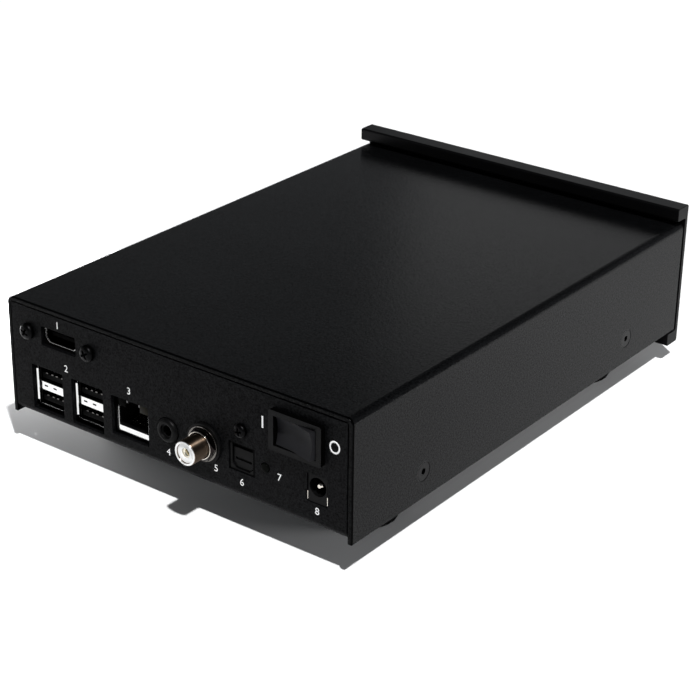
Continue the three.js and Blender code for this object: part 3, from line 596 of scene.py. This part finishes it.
def turned(name, profile, facets=48, width=1.0, smooth=True):
    """A closed profile of (radius, height) pairs in mm, turned round Z; width stretches it along X."""
    made = bmesh.new()
    rows = []
    for radius, height in profile:
        if radius == 0:
            rows.append([made.verts.new((0, 0, height * MM))])
            continue
        rows.append([
            made.verts.new((radius * width * MM * math.cos(turn), radius * MM * math.sin(turn), height * MM))
            for turn in (2 * math.pi * step / facets for step in range(facets))
        ])
    loop_back = profile[0][0] != 0
    pairs = list(zip(rows, rows[1:])) + ([(rows[-1], rows[0])] if loop_back else [])
    for row, following in pairs:
        for step in range(facets):
            corners = [row[step % len(row)], row[(step + 1) % len(row)]]
            corners += [following[(step + 1) % len(following)], following[step % len(following)]]
            unlike = list(dict.fromkeys(corners))
            if len(unlike) > 2:
                made.faces.new(unlike)
    return finished(made, name, smooth)


def tapered_block(name, top, bottom, high, low):
    """A block in mm whose half sizes go from `bottom` at the height `low` to `top` at `high`."""
    made = bmesh.new()
    rows = [
        [made.verts.new((u * half[0] * MM, v * half[1] * MM, height * MM))
         for u, v in ((-1, -1), (1, -1), (1, 1), (-1, 1))]
        for half, height in ((bottom, low), (top, high))
    ]
    made.faces.new(rows[0])
    made.faces.new(rows[1])
    for step in range(4):
        after = (step + 1) % 4
        made.faces.new((rows[0][step], rows[0][after], rows[1][after], rows[1][step]))
    return finished(made, name)


def combined(mesh, other, operation):
    """The mesh after a boolean with another one, which is used up."""
    holders = []
    for part in (mesh, other):
        holder = bpy.data.objects.new(part.name + "_holder", part)
        bpy.context.scene.collection.objects.link(holder)
        holders.append(holder)
    step = holders[0].modifiers.new("step", "BOOLEAN")
    step.operation = operation
    step.solver = "EXACT"
    step.object = holders[1]
    bpy.context.view_layer.update()
    result = bpy.data.meshes.new_from_object(holders[0].evaluated_get(bpy.context.evaluated_depsgraph_get()))
    result.name = mesh.name
    for holder in holders:
        bpy.data.objects.remove(holder)
    return result


def printed_ring(name, x, z, width, height, stroke):
    """An oval ring of ink on the panel, with its middle at x and z."""
    lift = PRINT_DEPTH / MM
    outer = height / 2 / MM
    inner = outer - stroke / MM
    mesh = turned(name, [(inner, 0), (outer, 0), (outer, lift), (inner, lift)], 64, width / height)
    mesh.transform(onto_panel(x, z))
    return add_piece(name, mesh, WHITE_INK)


def printed_text(name, text, x, z, height):
    """Characters in ink on the panel, with their middle at x and z."""
    curve = bpy.data.curves.new(name, "FONT")
    curve.body = text
    curve.size = height / NUMERAL_SHARE
    curve.extrude = PRINT_DEPTH / 2
    curve.align_x = "CENTER"
    curve.align_y = "CENTER"
    curve.resolution_u = 6
    holder = bpy.data.objects.new(name + "_text", curve)
    bpy.context.scene.collection.objects.link(holder)
    bpy.context.view_layer.update()
    mesh = bpy.data.meshes.new_from_object(holder.evaluated_get(bpy.context.evaluated_depsgraph_get()))
    bpy.data.objects.remove(holder)
    mesh.transform(onto_panel(x, z) @ Matrix.Translation((0, 0, PRINT_DEPTH / 2)))
    return add_piece(name, mesh, WHITE_INK)


# Marks of the switch, and plain numbers beside the sockets
def switch_marks():
    centre = middle("switch_body")
    off_x = centre.x + OFF_MARK_PLACE[0]
    off_z = centre.z + OFF_MARK_PLACE[1]
    printed_ring("print_off", off_x, off_z, *OFF_MARK_SIZE, OFF_MARK_STROKE)
    on_mark = tapered_block("print_on", ON_MARK_HALF_SIZE, ON_MARK_HALF_SIZE, PRINT_DEPTH / MM, 0)
    on_mark.transform(onto_panel(centre.x + ON_MARK_PLACE[0], centre.z + ON_MARK_PLACE[1]))
    add_piece("print_on", on_mark, WHITE_INK)


def numbers():
    for number, (node, across, above) in enumerate(NUMBERED, 1):
        centre = middle(node)
        x = centre.x + across * MM
        z = centre.z + above * MM
        printed_text(f"print_number_{number}", str(number), x, z, NUMBER_HEIGHT)


switch_marks()
numbers()


# Screws of the rear panel, with domed heads and cross recesses
def dome(radius, height, rim, steps=9):
    """Profile of a pan head from its rim to its middle, flatter on top than a ball."""
    points = []
    for step in range(steps + 1):
        turn = math.pi / 2 * step / steps
        points.append((radius * math.cos(turn) ** 0.62, rim + (height - rim) * math.sin(turn) ** 0.85))
    points[-1] = (0, height)
    return points


def cross_screw(node, turn):
    """Takes the place of a plain CAD screw."""
    low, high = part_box(node)
    centre = middle(node)
    radius = (high.x - low.x) / 2 / MM
    height = (high.y - PANEL_Y) / MM
    tip = (low.y - PANEL_Y) / MM
    rim = 0.3 * height
    recess_floor = 0.3
    shank = [(0, tip), (SHANK_RADIUS, tip), (SHANK_RADIUS, 0)]
    profile = [*shank, (radius, 0), *dome(radius, height, rim)]
    mesh = turned(node + "_cross_head", profile)
    mouth = (0.62 * radius, 0.15 * radius)
    bottom = (0.25 * radius, 0.1 * radius)
    for quarter in (0, 1):
        blade = tapered_block("blade", mouth, bottom, height, recess_floor)
        blade.transform(Matrix.Rotation(turn + quarter * math.pi / 2, 4, "Z"))
        mesh = combined(mesh, blade, "DIFFERENCE")
    mesh.transform(onto_panel(centre.x, centre.z))
    piece = add_piece(node + "_cross_head", mesh, FINISHES["black_screw"])
    round_edges(piece, 0.1)
    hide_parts(node)


for screw, turned_by in SCREW_TURNS.items():
    cross_screw(screw, turned_by)


# Coaxial socket: a chamfered nut darkened as painted shade, a ring on its face as painted highlight, and the
# sprung leaves of the contact
def coax_details():
    centre = middle("coax_barrel")
    place = onto_panel(centre.x, centre.z)
    across = 9.7
    back = 1.5
    front = 2.9
    bore = 4.2
    chamfer_radius = 4.72
    corner = across / 2 / math.cos(math.pi / 6)
    prism = turned("nut", [(0, back), (corner, back), (corner, front), (0, front)], 6, smooth=False)
    cone = turned("cone", [
        (0, back - 0.1), (corner + 0.1, back - 0.1), (corner + 0.1, front - 1.0), (chamfer_radius, front),
        (0, front),
    ])
    hole = turned("hole", [(0, back - 1), (bore, back - 1), (bore, front + 1), (0, front + 1)])
    mesh = combined(combined(prism, cone, "INTERSECT"), hole, "DIFFERENCE")
    mesh.transform(place)
    nut = add_piece("coax_nut_chamfered", mesh, PAINTED_SHADE_NICKEL)
    round_edges(nut, 0.08)
    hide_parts("coax_nut")
    # Painted highlight: a thin ring of bright nickel on the nut's darkened face
    face = turned("coax_nut_painted_highlight", [(4.3, front), (4.66, front), (4.6, front + 0.12), (4.38, front + 0.12)])
    face.transform(place)
    add_piece("coax_nut_painted_highlight", face, FINISHES["nickel"])

    tip = (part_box("coax_barrel")[1].y - PANEL_Y) / MM
    leaves = turned("coax_contact_leaves", [
        (1.58, tip - 0.75), (0.95, tip - 1.9), (0.85, tip - 3.4), (1.05, tip - 5.4), (1.2, tip - 5.4),
        (1.0, tip - 3.4), (1.1, tip - 1.95), (1.58, tip - 1.1),
    ])
    leaves.transform(place)
    add_piece("coax_contact_leaves", leaves, FINISHES["gilt_contact"])


coax_details()


def joined(name, meshes, material):
    """Several closed meshes as one piece."""
    made = bmesh.new()
    for mesh in meshes:
        made.from_mesh(mesh)
        bpy.data.meshes.remove(mesh)
    return add_piece(name, finished(made, name), material)


def panel_block(low, high, name="block"):
    """A block between two corners: X and Z of the part in mm, and Y from the panel outwards."""
    half = [(b - a) / 2 for a, b in zip(low, high)]
    sides = (half[0], half[2])
    mesh = tapered_block(name, sides, sides, high[1], low[1])
    mesh.transform(onto_panel((low[0] + high[0]) / 2 * MM, (low[2] + high[2]) / 2 * MM))
    return mesh


# Network socket: signal lamps in its upper corners, and the sprung wires in its mouth
def network_details():
    low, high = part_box("network_socket_shell")
    front = (high.y - PANEL_Y) / MM
    centre = (low.x + high.x) / 2 / MM
    base = low.z / MM
    lamp_edges = (3.0, 7.85)
    lamp_heights = (base + 9.4, base + 13.4)
    lamp_length = 6
    proud = 0.22
    for side, sign in (("left", 1), ("right", -1)):
        near, far = sorted(centre + sign * edge for edge in lamp_edges)
        name = f"network_lamp_{side}"
        corner = (near, front - lamp_length, lamp_heights[0])
        mesh = panel_block(corner, (far, front + proud, lamp_heights[1]), name)
        lamp = add_piece(name, mesh, LINK_LAMPS[side])
        round_edges(lamp, 0.1)
    count = 8
    pitch = 1.02
    half_width = 0.17
    tips = front - 3.4
    rise = 0.28  # of the wires, for each mm inwards
    slope = Matrix.Identity(4)
    slope[2][1] = -rise
    start = Vector((0, PANEL_Y + tips * MM, 0))
    wires = []
    for index in range(count):
        x = centre + (index - (count - 1) / 2) * pitch
        wire = panel_block((x - half_width, front - 9, base + 2.9), (x + half_width, tips, base + 3.1))
        wire.transform(Matrix.Translation(start) @ slope @ Matrix.Translation(-start))
        wires.append(wire)
    joined("network_wires", wires, FINISHES["gilt_contact"])


network_details()


# Double USB sockets: thin black patches painted as the shade in the spring slots of the plate between the
# ports, and the contacts on the tongues, darkened as painted shade
def usb_details(number):
    low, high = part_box(f"usb_socket_{number}_shell")
    centre = (low.x + high.x) / 2 / MM
    front = -2.1
    base = low.z / MM
    half_slot = 0.75
    slot_shades = []
    # Painted shade: each slot is a thin black patch on the plate
    for x in (2.9, -1.1):
        left = centre + x - half_slot
        right = centre + x + half_slot
        slot_shades.append(panel_block((left, front - 0.1, base + 7.05), (right, front + 0.03, base + 7.6)))
    joined(f"usb_{number}_spring_slot_shades", slot_shades, DEEP_BLACK)
    half_port = 2.65
    tongue_foot = 0.7
    tongue_thickness = 1.85
    clearance = 0.12
    half_contact = 0.42
    contacts = []
    for port_centre in (3.1, 11.25):
        top = base + port_centre - half_port + tongue_foot + tongue_thickness + clearance
        for x in (-3.5, -1, 1, 3.5):
            left = centre + x - half_contact
            right = centre + x + half_contact
            contacts.append(panel_block((left, front - 13, top), (right, front - 1.3, top + 0.06)))
            contacts.append(panel_block((left, front - 1.3, top - 0.1), (right, front - 1.15, top + 0.3)))
    # The contacts inside the ports take the darkened plating, as painted shade
    joined(f"usb_{number}_contacts", contacts, PAINTED_SHADE_CONTACT)


usb_details(1)
usb_details(2)


# Trigger jack: the rounded collar round its hole
def trigger_collar():
    centre = middle("trigger_jack_contact")
    front = (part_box("trigger_jack_body")[1].y - PANEL_Y) / MM
    low = front - 0.2
    high = front + 0.8
    mesh = turned("trigger_jack_collar", [
        (2.3, low), (2.35, high - 0.3), (2.5, high - 0.05), (2.7, high), (3.15, high), (3.5, high - 0.12),
        (3.8, high - 0.38), (4.0, high - 0.7), (4.1, low),
    ])
    mesh.transform(onto_panel(centre.x, centre.z))
    add_piece("trigger_jack_collar", mesh, FINISHES["black_plastic"])


trigger_collar()


# Status lamp: the dome of its lens
def lamp_dome():
    low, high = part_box("status_led")
    below_top = 1.9 * MM
    mesh = turned("status_led_dome", [
        (0, -0.5), (1.6, -0.5), (1.6, 0.2), (1.52, 0.36), (1.3, 0.46), (0.7, 0.53), (0, 0.55),
    ])
    mesh.transform(onto_panel((low.x + high.x) / 2, high.z - below_top))
    add_piece("status_led_dome", mesh, FINISHES["lamp_lens"])


lamp_dome()


def hollow_frame(name, outer, inner, low, high):
    """A flat ring in mm between two outlines of (u, v) corners, from the height `low` to `high`."""
    made = bmesh.new()
    loops = [
        [made.verts.new((u * MM, v * MM, height * MM)) for u, v in corners]
        for corners, height in ((outer, low), (outer, high), (inner, high), (inner, low))
    ]
    for loop, following in zip(loops, loops[1:] + loops[:1]):
        for step in range(len(loop)):
            after = (step + 1) % len(loop)
            made.faces.new((loop[step], loop[after], following[after], following[step]))
    return finished(made, name)


def rectangle(left, right, low, high):
    return [(left, low), (right, low), (right, high), (left, high)]


# Optical socket: a thin black frame as painted shadow, standing for the shadow gap round its nose, widest
# over the shutter
def optical_border():
    low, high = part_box("optical_shutter")
    x = (low.x + high.x) / 2
    nose_middle = high.z - 4.1 * MM
    z = nose_middle + 0.2 * MM
    outer = rectangle(-5.1, 5.1, -4.75, 4.75)
    inner = rectangle(-4.85, 4.2, -4.5, 4.15)
    mesh = hollow_frame("optical_nose_painted_shadow", outer, inner, -0.5, -0.4)
    mesh.transform(onto_panel(x, z))
    add_piece("optical_nose_painted_shadow", mesh, DEEP_BLACK)


optical_border()


# Video socket: the flared rim of its mouth
def video_rim():
    centre = middle("video_socket_shell")
    right_side = [(5.2, -2.15), (6.85, -0.6), (6.85, 2.4)]
    half_way_up = 0.125 * MM

    def outline(margin):
        """The socket's outline, wider by a margin all round."""
        grown = [(u + margin, v - margin if v < 0 else v + margin) for u, v in right_side]
        return grown + [(-u, v) for u, v in reversed(grown)]

    mesh = hollow_frame("video_socket_rim", outline(0.28), outline(0.13), -2.1, -1.6)
    mesh.transform(onto_panel(centre.x, centre.z - half_way_up))
    piece = add_piece("video_socket_rim", mesh, FINISHES["socket_plating"])
    round_edges(piece, 0.03)


video_rim()


# Power inlet: the turned-in front edges of its sleeve contact
def inlet_edges():
    centre = middle("power_inlet_pin")
    x = centre.x / MM
    z = centre.z / MM
    edges = [
        panel_block((x + 3.6, -0.4, z - 5.0), (x + 3.8, -0.12, z - 2.2)),
        panel_block((x - 3.8, -0.4, z - 5.0), (x - 3.6, -0.12, z - 2.2)),
    ]
    joined("power_inlet_contact_edges", edges, FINISHES["nickel"])


inlet_edges()


# Floor, lamp, sky and camera
def floor_material():
    paint = Paint("floor_look", 0.9, specular=0.0)
    cloud = paint.noise(60 * MM, 2)
    paint.colour(paint.mix(paint.spread(cloud, 0, 1), (0.945, 0.948, 0.952), (0.955, 0.958, 0.962)))
    return paint.material


def make_floor():
    half = FLOOR_SIZE / 2
    mesh = bpy.data.meshes.new("floor")
    corners = [(-half, -half, 0), (half, -half, 0), (half, half, 0), (-half, half, 0)]
    mesh.from_pydata(corners, [], [(0, 1, 2, 3)])
    mesh.materials.append(floor_material())
    floor = bpy.data.objects.new("floor", mesh)
    bpy.context.scene.collection.objects.link(floor)


def make_lamp():
    light = bpy.data.lights.new("key_lamp", "SUN")
    light.energy = LAMP_STRENGTH
    light.angle = LAMP_SPREAD
    lamp = bpy.data.objects.new("key_lamp", light)
    lamp.rotation_euler = TOWARDS_LAMP.to_track_quat("Z", "Y").to_euler()
    bpy.context.scene.collection.objects.link(lamp)


def make_light_panel(name, place, aim, size, power, mirrored=True):
    """A panel that shines towards its aim; if it isn't mirrored, glossy surfaces don't show it."""
    light = bpy.data.lights.new(name, "AREA")
    light.shape = "RECTANGLE"
    light.size = size[0]
    light.size_y = size[1]
    light.energy = power
    panel = bpy.data.objects.new(name, light)
    panel.location = place
    panel.rotation_euler = (place - aim).to_track_quat("Z", "Y").to_euler()
    panel.visible_glossy = mirrored
    bpy.context.scene.collection.objects.link(panel)


def make_sky():
    """Pale near the horizon and dark overhead."""
    world = bpy.data.worlds.new("sky")
    world.use_nodes = True
    nodes = world.node_tree.nodes
    links = world.node_tree.links
    background = nodes["Background"]
    background.inputs["Color"].default_value = SKY_COLOUR
    parts = nodes.new("ShaderNodeSeparateXYZ")
    links.new(nodes.new("ShaderNodeTexCoord").outputs["Generated"], parts.inputs[0])
    fade = nodes.new("ShaderNodeMapRange")
    fade.interpolation_type = "SMOOTHSTEP"
    links.new(parts.outputs["Z"], fade.inputs["Value"])
    fade.inputs["From Min"].default_value = SKY_FADE[0]
    fade.inputs["From Max"].default_value = SKY_FADE[1]
    fade.inputs["To Min"].default_value = SKY_LOW
    fade.inputs["To Max"].default_value = SKY_OVERHEAD
    links.new(fade.outputs["Result"], background.inputs["Strength"])
    bpy.context.scene.world = world


def make_camera():
    settings = bpy.data.cameras.new("camera")
    settings.lens = CAMERA_LENS
    settings.sensor_width = CAMERA_SENSOR
    settings.clip_start = 0.01
    camera = bpy.data.objects.new("camera", settings)
    bpy.context.scene.collection.objects.link(camera)
    back = (CAMERA_PLACE - CAMERA_AIM).normalized()
    level = back.to_track_quat("Z", "Y").to_matrix().to_4x4()
    camera.matrix_world = Matrix.Translation(CAMERA_PLACE) @ level @ Matrix.Rotation(CAMERA_ROLL, 4, "Z")
    bpy.context.scene.camera = camera


make_floor()
make_lamp()
make_light_panel("back_panel", *BACK_PANEL)
make_light_panel("left_card", *LEFT_CARD)
make_light_panel("right_card", *RIGHT_CARD, mirrored=False)
make_sky()
make_camera()
bpy.context.scene.view_settings.view_transform = "Standard"
